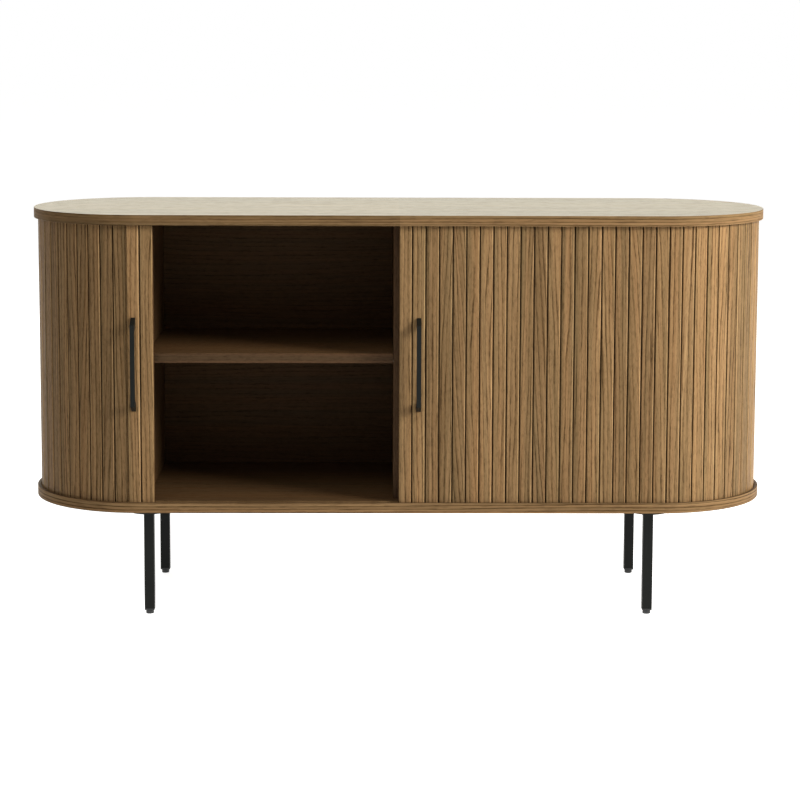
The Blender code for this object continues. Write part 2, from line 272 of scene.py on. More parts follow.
# Brown oak veneer, sliced flat from the log, sanded and finished with a matt lacquer. Sliced
# oak shows the growth rings as long streaks and nested arches: each starts with a dark line
# of open pores and pales into dense late wood. Under the lacquer the pores stay open as
# short fine dashes.
oak = {
    "late": "#B89366",         # dense late wood
    "body": "#8C6D49",
    "early": "#3D2710",        # porous start of a ring
    "pore": "#2A1B0F",
    "warm": "#9A7046",         # warmer and greyer streaks
    "grey": "#796443",
    "ringMm": 9.0,             # ring spacing on the flat face
    "bend": 5.0,               # how many rings the grain wanders by
    "wobble": 0.9,             # and how many it waves by
    "lines": 0.9,              # how dark the rings' first lines are
    "faintest": 0.1,           # and how faint and strong they may grow
    "strongest": 1.35,
    "ring": ((0.0, 0.0), (0.05, 1.0), (0.15, 0.85), (0.34, 0.15), (0.6, 0.0), (0.94, 0.0),
             (1.0, 0.1)),      # place in a ring and how far it is early wood
    "dashMm": 0.9,             # the dashes that the dark lines break up into,
    "dashSteps": (0.40, 0.56),         # where in their noise they begin and end,
    "dashShares": (0.62, 1.12),        # and what they leave of a line, between and on them
    "streakMm": 3.2,           # bundles of fibres, which take the stain unevenly
    "fibreMm": 2.0,            # real fibres and pores are a tenth of these, drawn coarser to show
    "poreMm": 2.2,
    "poreSteps": (0.52, 0.62),
    "poresOutside": 0.4,       # share of them that stands outside the early wood
    "pores": 0.45,             # how dark they are
    "roughness": 0.5,
    "poreRoughness": 0.16,     # how much rougher the pores are
    "fibreRoughness": 0.03,    # and how far fibres are from each other
    "ior": 1.5,
    "shine": 0.1,              # the matting agent in the lacquer leaves little of its gloss
    "relief": 0.5,
    "reliefDepth": 0.00025,
    "heights": (-0.7, -0.25, 0.25),    # of pores, early wood and fibres, in shares of that
    "sheetSpread": 0.16,       # how far one slat's tone is from the next
    "fibreSpread": 0.16,       # and one fibre's from the next
}
oakBoard = dict(oak, late="#A98F62", body="#7F6844", warm="#8D6B43", grey="#71613F",
                roughness=0.33, shine=0.5)
oakEdge = dict(oak, late="#A4845C", body="#806545", ringMm=5.5, bend=4.5, lines=0.95,
               faintest=0.25, streakMm=3.0, shine=0.06)
# the slats' eased edges: the oak painted paler, a painted highlight where the light catches them
oakArrisPaintedHighlight = dict(oak, late="#C9A575", body="#9D7B52", warm="#AA7D50", grey="#8A744E")
# Inside oak: the same oak drawn much darker, painted shade for the carcass's inside, the bottom
# board's faces and the slats' sides in the gaps, with a darker edge band of its own
oakInsidePaintedShade = dict(oak, late="#62472C", body="#533C25", early="#33230F", pore="#22170D",
                 warm="#5B3E26", grey="#4A3B27", lines=0.5, roughness=0.55, shine=0.1,
                 sheetSpread=0.03)
oakInsideEdgePaintedShade = dict(oakInsidePaintedShade, late="#6A4E36", body="#5A412D", warm="#654430", grey="#50402C",
                     ringMm=6.0, bend=1.6, streakMm=2.4)


def oakVeneer(name, look):
    m = newMaterial(name)
    grain = addNode(m, "ShaderNodeAttribute", {"attribute_name": "grain"}).outputs["Vector"]
    across = addNode(m, "ShaderNodeSeparateXYZ", None, {0: grain}).outputs["Y"]

    # noises drawn out along the grain: their cycles per metre along it, across it and from
    # sheet to sheet, their detail and their roughness
    noise = {}
    for key, cycles, detail, roughness in (
        ("wander", (1.7, 16, 1), 1.0, 0.4),
        ("wobble", (8, 120, 1), 2.0, 0.5),
        ("fading", (6, 90, 1.4), 2.0, 0.5),
        ("dashes", (60, 1000 / look["dashMm"], 1), 1.0, 0.5),
        ("pores", (110, 1000 / look["poreMm"], 1), 1.0, 0.5),
        ("fibre", (30, 1000 / look["fibreMm"], 1), 3.0, 0.7),
        ("bundle", (7, 1000 / look["streakMm"], 1.3), 2.0, 0.6),
        ("cast", (1.4, 70, 1.7), 2.0, 0.5),
        ("shade", (0.9, 75, 2.3), 1.0, 0.5),
    ):
        place = addNode(m, "ShaderNodeVectorMath", {"operation": "MULTIPLY"}, {0: grain, 1: cycles})
        noise[key] = addNode(
            m, "ShaderNodeTexNoise", {"noise_dimensions": "3D"},
            {"Vector": place, "Scale": 1.0, "Detail": detail, "Roughness": roughness},
        )

    # growth rings counted across the grain, and carried sideways by the slow noises
    count = addNode(m, "ShaderNodeMath", {"operation": "MULTIPLY"},
                    {0: across, 1: 1000 / look["ringMm"]})
    for key, rings in (("wander", look["bend"]), ("wobble", look["wobble"])):
        count = addNode(m, "ShaderNodeMath", {"operation": "MULTIPLY_ADD"},
                        {0: noise[key], 1: rings, 2: count})
    part = addNode(m, "ShaderNodeMath", {"operation": "FRACT"}, {0: count})
    early = addNode(m, "ShaderNodeValToRGB", None, {"Fac": part})
    stops = early.color_ramp.elements
    for position, level in look["ring"][1:-1]:
        stops.new(position)
    for stop, (position, level) in zip(stops, look["ring"]):
        stop.color = (level, level, level, 1)

    # their dark lines fade in and out, and break up into dashes
    fading = addNode(m, "ShaderNodeMapRange", None,
                     {"Value": noise["fading"], **noiseRange,
                      "To Min": look["faintest"], "To Max": look["strongest"]})
    (first, last), (between, on) = look["dashSteps"], look["dashShares"]
    dashes = addNode(m, "ShaderNodeMapRange", None,
                     {"Value": noise["dashes"], "From Min": first, "From Max": last,
                      "To Min": between, "To Max": on})
    for share in (fading, dashes):
        early = addNode(m, "ShaderNodeMath", {"operation": "MULTIPLY", "use_clamp": True},
                        {0: early, 1: share})

    # open pores: short dashes, crowded in the early wood
    first, last = look["poreSteps"]
    pores = addNode(m, "ShaderNodeMapRange", None,
                    {"Value": noise["pores"], "From Min": first, "From Max": last})
    crowd = addNode(m, "ShaderNodeMath", {"operation": "MULTIPLY_ADD"},
                    {0: early, 1: 1 - look["poresOutside"], 2: look["poresOutside"]})
    pores = addNode(m, "ShaderNodeMath", {"operation": "MULTIPLY"}, {0: pores, 1: crowd})

    # from the body colour: pale bundles, warm and grey streaks, each with its share where its
    # noise is low and where it is high, then dark lines and pores
    tint = colour(look["body"])
    for key, low, high, wood in (
        ("bundle", 0.0, 1.0, "late"), ("cast", -0.1, 0.5, "warm"), ("shade", -0.25, 0.75, "grey"),
    ):
        share = addNode(m, "ShaderNodeMapRange", None,
                        {"Value": noise[key], **noiseRange, "To Min": low, "To Max": high})
        tint = addNode(m, "ShaderNodeMix", {"data_type": "RGBA"},
                       {0: share, 6: tint, 7: colour(look[wood])})
    for mask, strength, wood in ((early, look["lines"], "early"), (pores, look["pores"], "pore")):
        share = addNode(m, "ShaderNodeMath", {"operation": "MULTIPLY"}, {0: mask, 1: strength})
        tint = addNode(m, "ShaderNodeMix", {"data_type": "RGBA"},
                       {0: share, 6: tint, 7: colour(look[wood])})

    # the tone of the sheet, with a white noise on its number, and of the single fibres
    sheet = addNode(m, "ShaderNodeVectorMath", {"operation": "FLOOR"}, {0: grain})
    sheet = addNode(m, "ShaderNodeVectorMath", {"operation": "MULTIPLY"}, {0: sheet, 1: (0, 0, 1)})
    tone = addNode(m, "ShaderNodeTexWhiteNoise", {"noise_dimensions": "3D"}, {"Vector": sheet})
    tone = addNode(m, "ShaderNodeMath", {"operation": "MULTIPLY_ADD"},
                   {0: tone.outputs["Value"], 1: look["sheetSpread"] * 2,
                    2: 1 - look["sheetSpread"]})
    fibre = addNode(m, "ShaderNodeMapRange", None,
                    {"Value": noise["fibre"], **noiseRange,
                     "To Min": 1 - look["fibreSpread"], "To Max": 1 + look["fibreSpread"]})
    tone = addNode(m, "ShaderNodeMath", {"operation": "MULTIPLY"}, {0: tone, 1: fibre})
    tint = addNode(m, "ShaderNodeHueSaturation", None, {"Color": tint, "Value": tone})

    # pores are rougher and lie deep, early wood wears down a little, fibres stand up
    rough = addNode(m, "ShaderNodeMath", {"operation": "MULTIPLY_ADD"},
                    {0: pores, 1: look["poreRoughness"], 2: look["roughness"]})
    fibre = addNode(m, "ShaderNodeMapRange", None,
                    {"Value": noise["fibre"], **noiseRange,
                     "To Min": -look["fibreRoughness"], "To Max": look["fibreRoughness"]})
    rough = addNode(m, "ShaderNodeMath", {"operation": "ADD"}, {0: rough, 1: fibre})
    height = 0.0
    for relief, share in zip((pores, early, noise["fibre"]), look["heights"]):
        height = addNode(m, "ShaderNodeMath", {"operation": "MULTIPLY_ADD"},
                         {0: relief, 1: share, 2: height})
    return endMaterial(m, look, tint, rough, height,
                       {"IOR": look["ior"], "Specular IOR Level": look["shine"]})


# Steel with a baked powder coat: even black with the fine orange peel of melted powder,
# which breaks its reflections up into a soft sheen.
powderCoat = {
    "colour": "#0F110F",
    "worn": "#141613",
    "peelMm": 1.6,
    "cloudPerMetre": 28,
    "roughness": (0.41, 0.49),
    "ior": 1.5,
    "shine": 0.15,
    "relief": 0.25,
    "reliefDepth": 0.0002,
}


def powderCoatedSteel(name, look):
    m = newMaterial(name)
    place = addNode(m, "ShaderNodeTexCoord").outputs["Object"]
    peel = addNode(m, "ShaderNodeTexNoise", None,
                   {"Vector": place, "Scale": 1000 / look["peelMm"], "Detail": 2.0})
    cloud = addNode(m, "ShaderNodeTexNoise", None,
                    {"Vector": place, "Scale": look["cloudPerMetre"], "Detail": 3.0})
    share = addNode(m, "ShaderNodeMapRange", None, {"Value": cloud, **noiseRange})
    tint = addNode(m, "ShaderNodeMix", {"data_type": "RGBA"},
                   {0: share, 6: colour(look["colour"]), 7: colour(look["worn"])})
    low, high = look["roughness"]
    rough = addNode(m, "ShaderNodeMapRange", None,
                    {"Value": peel, **noiseRange, "To Min": low, "To Max": high})
    return endMaterial(m, look, tint, rough, peel,
                       {"IOR": look["ior"], "Specular IOR Level": look["shine"]})


# Injection moulded nylon: a satin black with the faint grain of a spark eroded mould.
nylon = {
    "colour": "#171817",
    "light": "#222322",
    "grainMm": 0.8,
    "roughness": (0.45, 0.55),
    "ior": 1.53,
    "relief": 0.3,
    "reliefDepth": 0.0001,
}


def mouldedNylon(name, look):
    m = newMaterial(name)
    place = addNode(m, "ShaderNodeTexCoord").outputs["Object"]
    grit = addNode(m, "ShaderNodeTexNoise", None,
                   {"Vector": place, "Scale": 1000 / look["grainMm"], "Detail": 1.0})
    share = addNode(m, "ShaderNodeMapRange", None, {"Value": grit, **noiseRange})
    tint = addNode(m, "ShaderNodeMix", {"data_type": "RGBA"},
                   {0: share, 6: colour(look["colour"]), 7: colour(look["light"])})
    low, high = look["roughness"]
    rough = addNode(m, "ShaderNodeMapRange", None,
                    {"Value": grit, **noiseRange, "To Min": low, "To Max": high})
    return endMaterial(m, look, tint, rough, grit, {"IOR": look["ior"]})


# Zinc plated steel, passivated: a pale metal with a faint cloudy warmth over turned marks.
zinc = {
    "colour": "#C4C3BD",
    "cloud": "#B3AE9F",
    "turnMm": 0.5,
    "cloudPerMetre": 260,
    "roughness": (0.26, 0.40),
    "relief": 0.2,
    "reliefDepth": 0.00005,
}


def zincPlatedSteel(name, look):
    m = newMaterial(name)
    place = addNode(m, "ShaderNodeTexCoord").outputs["Object"]
    cloud = addNode(m, "ShaderNodeTexNoise", None,
                    {"Vector": place, "Scale": look["cloudPerMetre"], "Detail": 3.0})
    marks = addNode(m, "ShaderNodeTexNoise", None,
                    {"Vector": place, "Scale": 1000 / look["turnMm"], "Detail": 1.0})
    share = addNode(m, "ShaderNodeMapRange", None, {"Value": cloud, **noiseRange})
    tint = addNode(m, "ShaderNodeMix", {"data_type": "RGBA"},
                   {0: share, 6: colour(look["colour"]), 7: colour(look["cloud"])})
    low, high = look["roughness"]
    rough = addNode(m, "ShaderNodeMapRange", None,
                    {"Value": cloud, **noiseRange, "To Min": low, "To Max": high})
    return endMaterial(m, look, tint, rough, marks, {"Metallic": 1.0})


# Plain woven cotton canvas, glued to the backs of the slats: a flat weave of dull brown yarn.
canvasCloth = {
    "yarn": "#583614",
    "shade": "#321B07",
    "yarnMm": 1.4,
    "wander": 0.3,             # how far a yarn wanders off its line
    "slubPerMetre": 40,        # thick and thin places in the yarn,
    "slubShade": 0.3,          # and how much darker they get
    "roughness": (0.85, 0.95),
    "ior": 1.5,
    "relief": 0.5,
    "reliefDepth": 0.0003,
}


def wovenCanvas(name, look):
    m = newMaterial(name)
    grain = addNode(m, "ShaderNodeAttribute", {"attribute_name": "grain"}).outputs["Vector"]
    # at scale 1 a wave is 314 mm long, and one wave takes two yarns
    weave = 1.0
    for direction in ("X", "Y"):
        wave = addNode(m, "ShaderNodeTexWave", {"bands_direction": direction},
                       {"Vector": grain, "Scale": 314 / look["yarnMm"] / 2,
                        "Distortion": look["wander"]})
        weave = addNode(m, "ShaderNodeMath", {"operation": "MULTIPLY"},
                        {0: weave, 1: wave.outputs["Fac"]})
    place = addNode(m, "ShaderNodeVectorMath", {"operation": "MULTIPLY"},
                    {0: grain, 1: (look["slubPerMetre"], look["slubPerMetre"], 1)})
    slub = addNode(m, "ShaderNodeTexNoise", None, {"Vector": place, "Scale": 1.0, "Detail": 3.0})
    uneven = addNode(m, "ShaderNodeMapRange", None,
                     {"Value": slub, **noiseRange, "To Min": 0.0, "To Max": look["slubShade"]})
    tint = addNode(m, "ShaderNodeMix", {"data_type": "RGBA"},
                   {0: weave, 6: colour(look["shade"]), 7: colour(look["yarn"])})
    tint = addNode(m, "ShaderNodeMix", {"data_type": "RGBA"},
                   {0: uneven, 6: tint, 7: colour(look["shade"])})
    low, high = look["roughness"]
    rough = addNode(m, "ShaderNodeMapRange", None,
                    {"Value": slub, **noiseRange, "To Min": low, "To Max": high})
    return endMaterial(m, look, tint, rough, weave, {"IOR": look["ior"]})


brownOak = oakVeneer("brownOakVeneerMattLacquer", oak)
arrisOakPaintedHighlight = oakVeneer("brownOakVeneerArrisPaintedHighlight", oakArrisPaintedHighlight)
boardOak = oakVeneer("brownOakVeneerSatinLacquer", oakBoard)
edgeOak = oakVeneer("brownOakEdgeBand", oakEdge)
insideOakPaintedShade = oakVeneer("brownOakVeneerInsidePaintedShade", oakInsidePaintedShade)
insideEdgeOakPaintedShade = oakVeneer("brownOakEdgeBandInsidePaintedShade", oakInsideEdgePaintedShade)
blackSteel = powderCoatedSteel("powderCoatedSteelBlack", powderCoat)
blackNylon = mouldedNylon("mouldedNylonBlack", nylon)
zincSteel = zincPlatedSteel("zincPlatedSteel", zinc)
canvas = wovenCanvas("wovenCottonCanvas", canvasCloth)
print("materials made")


# Boards: two long boards with half-ellipse ends and a groove that the slats run in
board = {
    "straightHalf": 0.484,     # where the rounded ends begin, from the middle
    "endFacets": 112,          # facets of one rounded end
    "arris": 0.0008,           # eased edge
    "slatInset": 0.0075,       # slat faces behind the board's edge
    "grooveClearance": 0.0012,
    "topGrooveDepth": 0.008,
    "bottomGrooveDepth": 0.006,
    "stretch": 0.45,           # one long sheet, with its streaks drawn out further than a slat's
    "topSheet": 4.5,           # numbers of the veneer sheets, with a half to keep off the next
    "bottomSheet": 14.5,
    "bandSheet": 1,            # how much further on the edge band and the lower face are
    "lowerSheet": 3,
}

# Slats: they stand on a canvas and run in the grooves
slat = {
    "pitch": 0.025,
    "gap": 0.002,
    "thickness": 0.008,
    "arris": 0.0024,           # eased front edges, they catch the light beside each groove
    "backArris": 0.0003,
    "canvas": 0.001,
    "glue": 0.0001,            # on each side of the canvas
    "rightLead": -0.0019,      # closing edge of the right door when closed
    "doorGap": 0.003,
    "travel": 18,              # pitches that each door slides
    "endSlats": 24,            # slats round one end
    "parked": (-0.5052, -0.5045),   # where the left door's front slats wait while it is open
    "sheets": (20, 900),       # every slat has a sheet of its own,
    "sheetLength": 6,          # its own place in it in metres,
    "sheetWidth": 0.3,
    "grainTilt": 0.024,        # and grain that leans a little
}

topLow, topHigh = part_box("top_board")
bottomLow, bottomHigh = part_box("bottom_board")
board["halfDepth"] = (topHigh.y - topLow.y) / 2
board["endReach"] = topHigh.x - board["straightHalf"]
carcassY = (topLow.y + topHigh.y) / 2      # the boards stand a little behind the frame's origin
slatLow, slatHigh = (corner.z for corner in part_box("left_end_run"))


# The line that a rounded end follows, and the distance run along it

def endLine(reach, depth, steps=720):
    angles = [math.pi * i / steps for i in range(steps + 1)]
    points = [(board["straightHalf"] + reach * math.sin(a), -depth * math.cos(a)) for a in angles]
    runs = [0.0]
    for first, second in zip(points, points[1:]):
        runs.append(runs[-1] + math.dist(first, second))
    return points, runs


facePoints, faceRuns = endLine(
    board["endReach"] - board["slatInset"], board["halfDepth"] - board["slatInset"])
edgeRuns = endLine(board["endReach"], board["halfDepth"])[1]


def facePoint(distance):
    # point of the slats' face line, from the middle of the front towards one end
    run = distance - board["straightHalf"]
    halfDepth = board["halfDepth"] - board["slatInset"]
    if run <= 0:
        return Vector((distance, -halfDepth, 0))
    if run >= faceRuns[-1]:
        return Vector((board["straightHalf"] - (run - faceRuns[-1]), halfDepth, 0))
    index = bisect_left(faceRuns, run)
    share = (run - faceRuns[index - 1]) / (faceRuns[index] - faceRuns[index - 1])
    (x0, y0), (x1, y1) = facePoints[index - 1], facePoints[index]
    return Vector((x0 + (x1 - x0) * share, y0 + (y1 - y0) * share, 0))


def edgeRun(x, y):
    # distance along a board's edge from the middle of its front to a point of a rounded end
    angle = math.atan2((abs(x) - board["straightHalf"]) / board["endReach"],
                       -y / board["halfDepth"])
    place = max(0.0, min(1.0, angle / math.pi)) * (len(edgeRuns) - 1)
    index = min(int(place), len(edgeRuns) - 2)
    run = edgeRuns[index] + (edgeRuns[index + 1] - edgeRuns[index]) * (place - index)
    return board["straightHalf"] + run


# Boards

def makeBoard(name, low, high, grooveDepth, faceUp, sheet, veneer):
    # faceUp is 1 for a groove in the upper face and -1 for one in the lower face
    steps = 2 * board["endFacets"]
    plank = addRound(name, 1.0, low, high, 0, 0, steps)
    plank.rotation_euler = (0, 0, math.pi / steps)
    applyPlace(plank)
    plank.scale = (board["endReach"], board["halfDepth"], 1)
    plank.location = (0, carcassY, 0)
    applyPlace(plank)
    for side in (1, -1):
        selectIn(plank, "verts", lambda v: v.co.x * side > 0)
        bpy.ops.transform.translate(value=(side * board["straightHalf"], 0, 0))
        leaveEdit()

    # the groove: two insets of the face towards the slats, and the ring between them sunk
    selectIn(plank, "faces", lambda f: f.normal.z * faceUp > aligned)
    outer = board["slatInset"] - board["grooveClearance"]
    width = slat["thickness"] + slat["canvas"] + 2 * board["grooveClearance"]
    bpy.ops.mesh.inset(thickness=outer, depth=0)
    bpy.ops.mesh.inset(thickness=width, depth=0)
    bpy.ops.mesh.select_more()
    leaveEdit()
    chosen = [face for face in plank.data.polygons if face.select]
    core = max(chosen, key=lambda f: f.area).index
    ring = {face.index for face in chosen} - {core}
    selectIn(plank, "faces", lambda f: f.index in ring)
    bpy.ops.mesh.extrude_region_move(
        TRANSFORM_OT_translate={"value": (0, 0, -faceUp * grooveDepth)})
    leaveEdit()
    roundEdges(plank, board["arris"], segments=3, degrees=50)

    def rule(point, normal, centre):
        x, y, z = point.x, point.y - carcassY, point.z - low
        if abs(normal.z) > broad:
            return (x * board["stretch"], y, sheet if normal.z > 0 else sheet + board["lowerSheet"])
        run = x
        if abs(centre.x) >= board["straightHalf"]:
            run = math.copysign(edgeRun(x, y), centre.x)
        elif centre.y > carcassY:
            run = edgeRun(board["straightHalf"], board["halfDepth"]) + board["straightHalf"] - x
        return (run * board["stretch"], z, sheet + board["bandSheet"])

    layGrain(plank, rule)
    smooth(plank, 50)
    # veneer on the broad faces, a matt band of the same oak round the edge
    faces = [0 if abs(face.normal.z) > broad else 1 for face in plank.data.polygons]
    plank.data.materials.append(veneer)
    plank.data.materials.append(edgeOak)
    plank.data.polygons.foreach_set("material_index", faces)
    return plank


topBoard = makeBoard("topBoard", topLow.z, topHigh.z, board["topGrooveDepth"], -1,
                     board["topSheet"], boardOak)
finish(topBoard, "cabinet", "outer_wood", nodes=["top_board"])
# the bottom board's faces take the inside oak, painted shade
bottomBoard = makeBoard("bottomBoard", bottomLow.z, bottomHigh.z, board["bottomGrooveDepth"], 1,
                        board["bottomSheet"], insideOakPaintedShade)
finish(bottomBoard, "cabinet", "outer_wood", nodes=["bottom_board"])
print("boards made")


# Slats

def makeSlat():
    # its front is the face at y = 0
    half = (slat["pitch"] - slat["gap"]) / 2
    middle = slat["thickness"] / 2
    piece = addBox("slat", (-half, 0, slatLow), (half, slat["thickness"], slatHigh))
    selectIn(piece, "edges", lambda e: upright(e) and middleOf(e).y < middle)
    bpy.ops.mesh.bevel(offset=slat["arris"], segments=4, affect="EDGES")
    leaveEdit()
    selectIn(piece, "edges", lambda e: upright(e) and middleOf(e).y > middle)
    bpy.ops.mesh.bevel(offset=slat["backArris"], segments=1, affect="EDGES")
    leaveEdit()
    smooth(piece, 50)
    # the eased edges are painted a little paler than the face, down to where the gap begins,
    # a painted highlight of the light catching them, and the sides in the gap take the dark
    # inside oak, painted shade in the gaps
    for face in piece.data.polygons:
        eased = face.center.y < slat["arris"] and 0.5 < -face.normal.y < 0.99
        face.material_index = 1 if eased else 2 if abs(face.normal.x) > aligned else 0
    for material in (brownOak, arrisOakPaintedHighlight, insideOakPaintedShade):
        piece.data.materials.append(material)
    return piece


patternSlat = makeSlat()


def layCanvas(name, start, count, side, line, trims):
    # the canvas of a run: a strip with one bay to a slat, cut back at its near and far end
    deselectAll()
    bpy.ops.mesh.primitive_grid_add(x_subdivisions=count, y_subdivisions=1, size=1)
    strip = bpy.context.object
    strip.name = strip.data.name = name
    grain = strip.data.attributes.new("grain", "FLOAT_VECTOR", "CORNER")
    beside = 0.001             # how far to each side the line's direction is taken
    places = {}
    for vertex in strip.data.vertices:
        share, level = vertex.co.x + 0.5, vertex.co.y + 0.5
        distance = start + share * count * slat["pitch"]
        distance += trims[0] if share < 0.01 else -trims[1] if share > 0.99 else 0
        places[vertex.index] = (distance, slatLow + level * (slatHigh - slatLow))
        along = (line(distance + beside) - line(distance - beside)).normalized()
        inward = Vector((-along.y, along.x, 0))
        point = line(distance) + inward * (slat["thickness"] + slat["glue"])
        vertex.co = (side * point.x, point.y + carcassY, places[vertex.index][1])
    for loop in strip.data.loops:
        grain.data[loop.index].vector = (*places[loop.vertex_index], 1)
    cloth = strip.modifiers.new("Cloth", "SOLIDIFY")
    cloth.thickness = slat["canvas"] - 2 * slat["glue"]
    cloth.offset = -side
    pick(strip)
    bpy.ops.object.modifier_apply(modifier="Cloth")
    if side < 0:
        # a strip on the left is a mirrored one
        bpy.ops.object.mode_set(mode="EDIT")
        bpy.ops.mesh.select_all(action="SELECT")
        bpy.ops.mesh.normals_make_consistent(inside=False)
        leaveEdit()
    return strip


def makeRun(name, start, count, side, line=facePoint, trims=(0, 0)):
    copies = []
    for number in range(count):
        first = line(start + number * slat["pitch"])
        second = line(start + (number + 1) * slat["pitch"])
        first.x *= side
        second.x *= side
        along = ((second - first) * side).normalized()
        inward = Vector((-along.y, along.x, 0))
        place = Matrix((along, inward, (0, 0, 1))).transposed().to_4x4()
        place.translation = (first + second) / 2 + Vector((0, carcassY, 0))
        sheet = chance.randrange(*slat["sheets"]) + 0.5
        shift = chance.uniform(0, slat["sheetLength"])
        across = chance.uniform(0, slat["sheetWidth"])
        turn, tilt = chance.choice((-1, 1)), chance.gauss(0, slat["grainTilt"])
        copy = copyOf(patternSlat, f"{name}Slat{number}", Matrix.Identity(4))
        # the veneer is wrapped round the slat from its front to its sides
        layGrain(copy, lambda point, normal, centre: (
            turn * point.z + shift,
            across + tilt * point.z + point.x + point.y * math.copysign(1, point.x),
            sheet))
        copy.data.transform(place)
        copies.append(copy)
    run = joinAll(copies, name)
    strip = layCanvas(name + "Canvas", start, count, side, line, trims)
    strip.data.materials.append(canvas)
    return joinAll([run, strip], name)


def frontPoint(distance):
    return Vector((distance, -board["halfDepth"] + board["slatInset"], 0))


# Each tambour from its closing edge on: the pieces' names here and in the CAD, their slats, the
# line that they stand on, and how far the canvas is cut back at the near and the far end
tambours = {
    "right": (
        ("LeadSlat", "lead_slat", 1, frontPoint, (0, 0)),
        ("HandleSlat", "handle_slat", 1, frontPoint, (0, 0.001)),
        ("FrontSlats", "front_run", slat["travel"], facePoint, (-0.0009, 0)),
        ("EndSlats", "end_run", slat["endSlats"], facePoint, (0.0002, 0)),
    ),
    "left": (
        ("LeadSlat", "lead_slat", 1, frontPoint, (0, 0)),
        ("HandleSlat", "handle_slat", 1, frontPoint, (0, 0.0008)),
        ("EndSlats", "end_run", slat["endSlats"], facePoint, (0.0004, 0)),
        ("BackSlats", "back_run", slat["travel"], facePoint, (0, 0)),
    ),
}
travel = slat["travel"] * slat["pitch"]
rightStart = slat["rightLead"]
leftClosed = slat["doorGap"] - slat["rightLead"]
runs = {}
for door, side, start in (("right", 1, rightStart), ("left", -1, leftClosed + travel)):
    for part, node, count, line, trims in tambours[door]:
        run = makeRun(door + part, start, count, side, line, trims)
        finish(run, f"{door}_door" if count == 1 else "cabinet", "outer_wood",
               nodes=[f"{door}_{node}"])
        runs[door + part] = run
        start += count * slat["pitch"]

# the closing edge of each door, with no gap beside it, takes the face's oak instead of the painted
# shade of the gap sides
for side, name in ((1, "leftLeadSlat"), (-1, "rightLeadSlat")):
    for face in runs[name].data.polygons:
        if face.normal.x * side > aligned and face.material_index == 2:
            face.material_index = 0

# Flat against the end of its straight stretch, a run stands for slats that went round the end
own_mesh(runs["rightFrontSlats"])
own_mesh(runs["leftBackSlats"])

# The left door is open at rest. The slats that it draws out of the end wait in the joint
# beside its handle slat, each where the door's eased travel would carry it to its own pitch.
frontSlats = makeRun("leftFrontSlats", leftClosed + 2 * slat["pitch"], slat["travel"], -1,
                     frontPoint)
parkedLow, parkedHigh = slat["parked"]


def parkedPlace(closedX):
    # where a point waits that stands at closedX when the door is closed, found by halving
    low, high = 0.0, 1.0
    for step in range(60):
        share = (low + high) / 2
        eased = share * share * (3 - 2 * share)
        reached = parkedLow + share * (parkedHigh - parkedLow) + eased * travel
        low, high = (share, high) if reached < closedX else (low, share)
    return parkedLow + low * (parkedHigh - parkedLow)


for vertex in frontSlats.data.vertices:
    vertex.co.x = parkedPlace(vertex.co.x)
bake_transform(frontSlats)
drop(patternSlat)
print("slats made")


# Panels inside, each as its CAD panel with eased edges and banded fronts

panel = {
    "arris": 0.0006,
    "firstSheet": 1001.5,      # number of the first panel's veneer sheet
    "sheetStep": 10,           # from one panel to the next
    "lowerSheet": 2,           # how much further on a panel's other face is
    "bandSheet": 5,            # and its edge band
}


def makePanel(name, node, grainAxis, faceAxis, sheet, slotName, veneer):
    low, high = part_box(node)
    piece = addBox(name, low, high)
    roundEdges(piece, panel["arris"])
    axes = {"x": 0, "y": 1, "z": 2}
    along, through = axes[grainAxis], axes[faceAxis]
    across = 3 - along - through

    def rule(point, normal, centre):
        if abs(normal[through]) > broad:
            number = sheet if normal[through] > 0 else sheet + panel["lowerSheet"]
            return (point[along], point[across], number)
        longer = along if abs(normal[along]) < broad else across
        return (point[longer], point[through], sheet + panel["bandSheet"])

    layGrain(piece, rule)
    smooth(piece, 50)
    faces = [0 if abs(face.normal[through]) > broad else 1 for face in piece.data.polygons]
    piece.data.materials.append(veneer)
    piece.data.materials.append(insideEdgeOakPaintedShade)
    piece.data.polygons.foreach_set("material_index", faces)
    finish(piece, "cabinet", slotName, nodes=[node])


# the inner panels take the inside oak and its edge band, painted shade; the outer back the outer
# veneer
for number, (name, node, grainAxis, faceAxis, slotName, veneer) in enumerate((
    ("leftSideWall", "left_side_wall", "z", "x", "inner_wood", insideOakPaintedShade),
    ("rightSideWall", "right_side_wall", "z", "x", "inner_wood", insideOakPaintedShade),
    ("centreDivider", "centre_divider", "z", "x", "inner_wood", insideOakPaintedShade),
    ("leftShelf", "left_shelf", "x", "z", "inner_wood", insideOakPaintedShade),
    ("rightShelf", "right_shelf", "x", "z", "inner_wood", insideOakPaintedShade),
    ("leftInnerBack", "left_inner_back", "x", "y", "back_board", insideOakPaintedShade),
    ("rightInnerBack", "right_inner_back", "x", "y", "back_board", insideOakPaintedShade),
    ("outerBack", "outer_back", "x", "y", "back_board", brownOak),
)):
    sheet = panel["firstSheet"] + number * panel["sheetStep"]
    makePanel(name, node, grainAxis, faceAxis, sheet, slotName, veneer)
print("panels made")


# Handles: a flat bar whose ends slope down to the slat

handle = {
    "height": 0.176,
    "reach": 0.022,            # from the slat to the face of the bar
    "bar": 0.006,
    "width": 0.0085,
    "endSlope": 0.012,
    "innerSlope": 0.008,
    "foot": 0.016,
    "arris": 0.0007,
}


